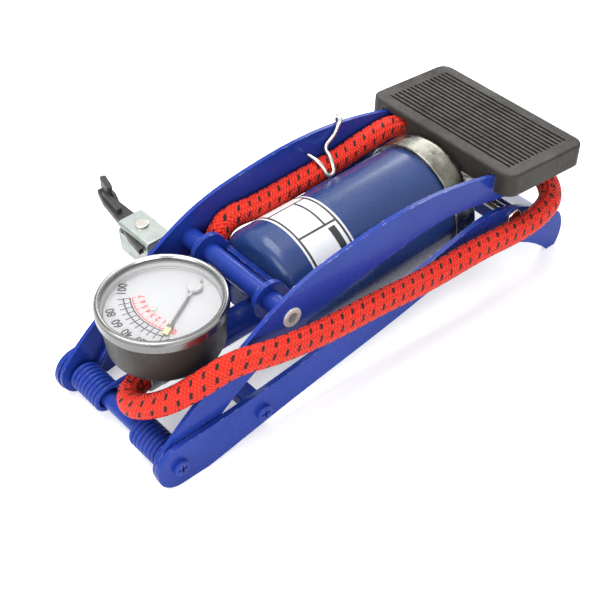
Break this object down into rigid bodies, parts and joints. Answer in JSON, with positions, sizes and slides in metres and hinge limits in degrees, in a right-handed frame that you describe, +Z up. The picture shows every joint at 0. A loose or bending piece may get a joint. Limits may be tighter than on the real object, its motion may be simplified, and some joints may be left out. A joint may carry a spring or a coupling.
{
  "type": "foot air pump",
  "caption": "Folded single-barrel foot air pump: blue steel rails and lever, black ribbed pedal, dial pressure gauge, red braided hose and thumb-lever valve chuck.",
  "frame": {"origin": "bottom centre of the pump without its hose and chuck, on the floor", "axes": "+Y from the hinge and gauge end towards the pedal, +Z up, +X towards the side where the hose runs outside the rail"},
  "size_m": [0.1607, 0.248, 0.0763],
  "materials": {
    "painted_steel": "gloss enamel",
    "painted_barrel": "gloss enamel",
    "plated_cap": "zinc plated, mottled",
    "zinc_fastener": "bright zinc",
    "bright_steel": "turned",
    "cast_zinc": "satin cast",
    "brass_parts": "turned",
    "black_plastic_gloss": "moulded",
    "pedal_plastic": "moulded, worn",
    "chuck_plastic": "moulded",
    "bezel_chrome": "polished",
    "clear_lens": "clear",
    "dial_face": "printed card",
    "needle_metal": "satin",
    "label_vinyl": "printed film",
    "hose_braid": "braided yarn",
    "black_rubber": "moulded"
  },
  "bodies": {
    "base": {"base_rail_left": "painted_steel", "base_rail_right": "painted_steel", "rear_cross_plate": "painted_steel", "front_cross_bar": "painted_steel", "hinge_rod": "painted_steel", "hinge_screws": "zinc_fastener", "front_bar_screws": "zinc_fastener", "rear_pin": "zinc_fastener", "rear_pin_washers": "zinc_fastener", "torsion_spring_left": "painted_steel", "torsion_spring_right": "painted_steel"},
    "lever": {"lever_arm_left": "painted_steel", "lever_arm_right": "painted_steel", "cross_tube": "painted_steel", "cross_tube_rivets": "zinc_fastener", "pedal_pad": "pedal_plastic", "pedal_bridge": "painted_steel", "pedal_screws": "zinc_fastener", "pedal_bridge_rivets": "painted_steel", "hose": "hose_braid", "hose_keeper": "zinc_fastener", "chuck_body": "cast_zinc", "chuck_seal": "black_rubber", "chuck_pin": "zinc_fastener"},
    "cylinder": {"barrel": "painted_barrel", "end_cap": "plated_cap", "rod_guide_bush": "plated_cap", "cylinder_label": "label_vinyl", "barrel_bracket": "painted_steel", "outlet_tee": "cast_zinc", "hose_ferrule": "bezel_chrome", "hose_lead": "hose_braid", "gauge_case": "black_plastic_gloss", "gauge_bezel": "bezel_chrome", "gauge_lens": "clear_lens", "gauge_dial": "dial_face", "gauge_dial_screws": "zinc_fastener", "gauge_stem": "brass_parts", "gauge_movement": "brass_parts", "gauge_bourdon_tube": "brass_parts"},
    "piston": {"piston_rod": "bright_steel", "piston_cup": "black_rubber", "piston_plates": "bright_steel", "piston_nuts": "bright_steel"},
    "needle": {"gauge_needle": "needle_metal"},
    "valve_disc": {"check_valve_disc": "black_rubber"},
    "chuck_lever_body": {"chuck_lever": "chuck_plastic"}
  },
  "joints": [
    {"name": "lever_hinge", "type": "hinge", "parent": "base", "child": "lever", "pos_m": [0, -0.113, 0.011], "axis": [1, 0, 0], "range_deg": [0, 35], "deforming": ["torsion_spring_left", "torsion_spring_right"]},
    {"name": "cylinder_pivot", "type": "hinge", "parent": "lever", "child": "cylinder", "pos_m": [0, -0.0478, 0.0529], "axis": [1, 0, 0], "range_deg": [-46, 0], "deforming": ["hose_lead", "hose"]},
    {"name": "piston_slide", "type": "slide", "parent": "cylinder", "child": "piston", "axis": [0, 1, 0], "range_m": [0, 0.04]},
    {"name": "gauge_needle_turn", "type": "hinge", "parent": "cylinder", "child": "needle", "pos_m": [0, -0.0706, 0.058], "axis": [0, 0, -1], "range_deg": [0, 61], "stiffness_Nm_per_rad": 0.00002, "springref_deg": -5.73},
    {"name": "check_valve_lift", "type": "slide", "parent": "cylinder", "child": "valve_disc", "axis": [0, -1, 0], "range_m": [0, 0.0016]},
    {"name": "chuck_lever_turn", "type": "hinge", "parent": "lever", "child": "chuck_lever_body", "pos_m": [-0.0691, -0.0515, 0.0372], "axis": [0, 0, -1], "range_deg": [0, 90]}
  ],
  "couplings": [
    {"joint": "cylinder_pivot", "follows": "lever_hinge", "ratio": -1.31},
    {"joint": "piston_slide", "follows": "lever_hinge", "m_per_rad": 0.0645}
  ]
}
